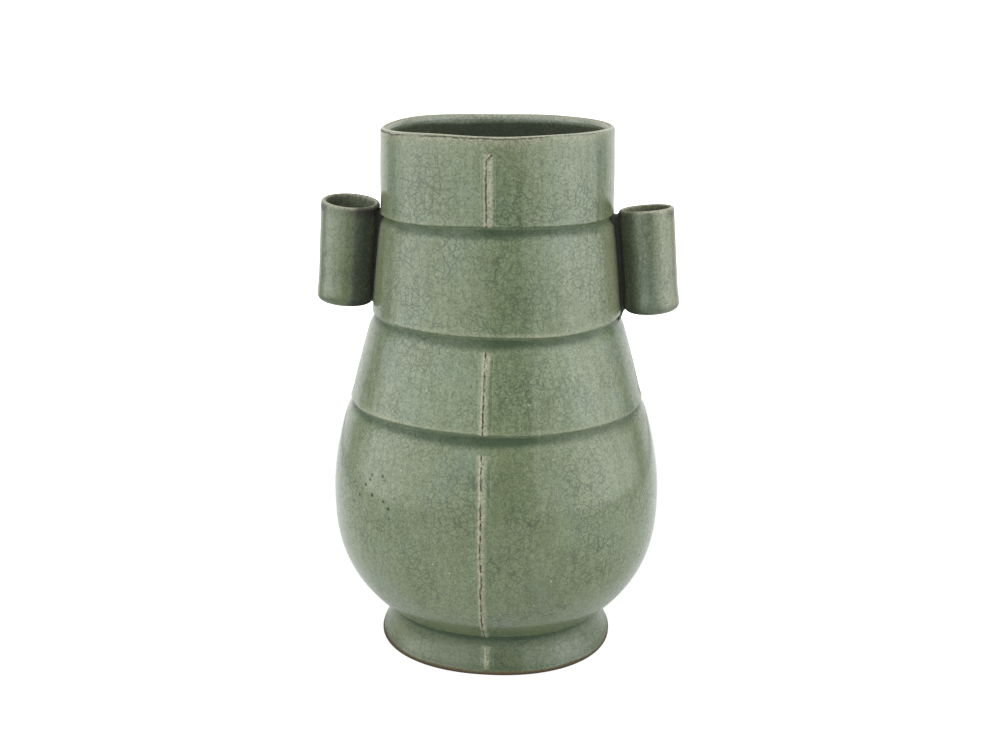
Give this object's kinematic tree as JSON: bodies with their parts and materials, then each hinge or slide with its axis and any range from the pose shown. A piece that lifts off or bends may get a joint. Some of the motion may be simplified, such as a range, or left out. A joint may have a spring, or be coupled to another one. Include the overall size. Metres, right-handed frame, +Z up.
{
  "type": "bamboo-joint vase",
  "caption": "Arrow vase of luted oval stoneware sections with stepped bamboo joints, a round belly, flared foot ring, vertical ribs and open tube lugs beside the neck.",
  "frame": {"origin": "centre of the foot ring's resting face", "axes": "+Z up through the mouth, +X towards the right-hand tube lug, -Y towards the viewer in front"},
  "size_m": [0.1892, 0.1526, 0.2806],
  "materials": {
    "celadon_glaze": "soft-gloss grey-green celadon with fine dark crackle",
    "lug_glaze": "soft-gloss grey-green celadon, thicker at the lower edge",
    "foot_glaze": "grey-green celadon over a bare brown resting edge",
    "pooled_glaze": "deep green pooled glaze in the grooves and creases",
    "rib_clay": "thin glaze over a beige clay ridge with a brown pitted line"
  },
  "bodies": {
    "root": {"foot_ring": "foot_glaze", "base_slab": "celadon_glaze", "belly_wall": "celadon_glaze", "shoulder_band": "celadon_glaze", "neck_band": "celadon_glaze", "mouth_collar": "celadon_glaze", "foot_seam": "pooled_glaze", "belly_seam": "pooled_glaze", "neck_seam": "pooled_glaze", "collar_seam": "pooled_glaze", "lug_tube_left": "lug_glaze", "lug_tube_right": "lug_glaze", "lug_luting_left": "pooled_glaze", "lug_luting_right": "pooled_glaze", "mouth_rib_front": "rib_clay", "shoulder_rib_front": "rib_clay", "belly_rib_front": "rib_clay", "foot_rib_front": "rib_clay", "mouth_rib_back": "rib_clay", "shoulder_rib_back": "rib_clay", "belly_rib_back": "rib_clay", "foot_rib_back": "rib_clay"}
  },
  "joints": []
}
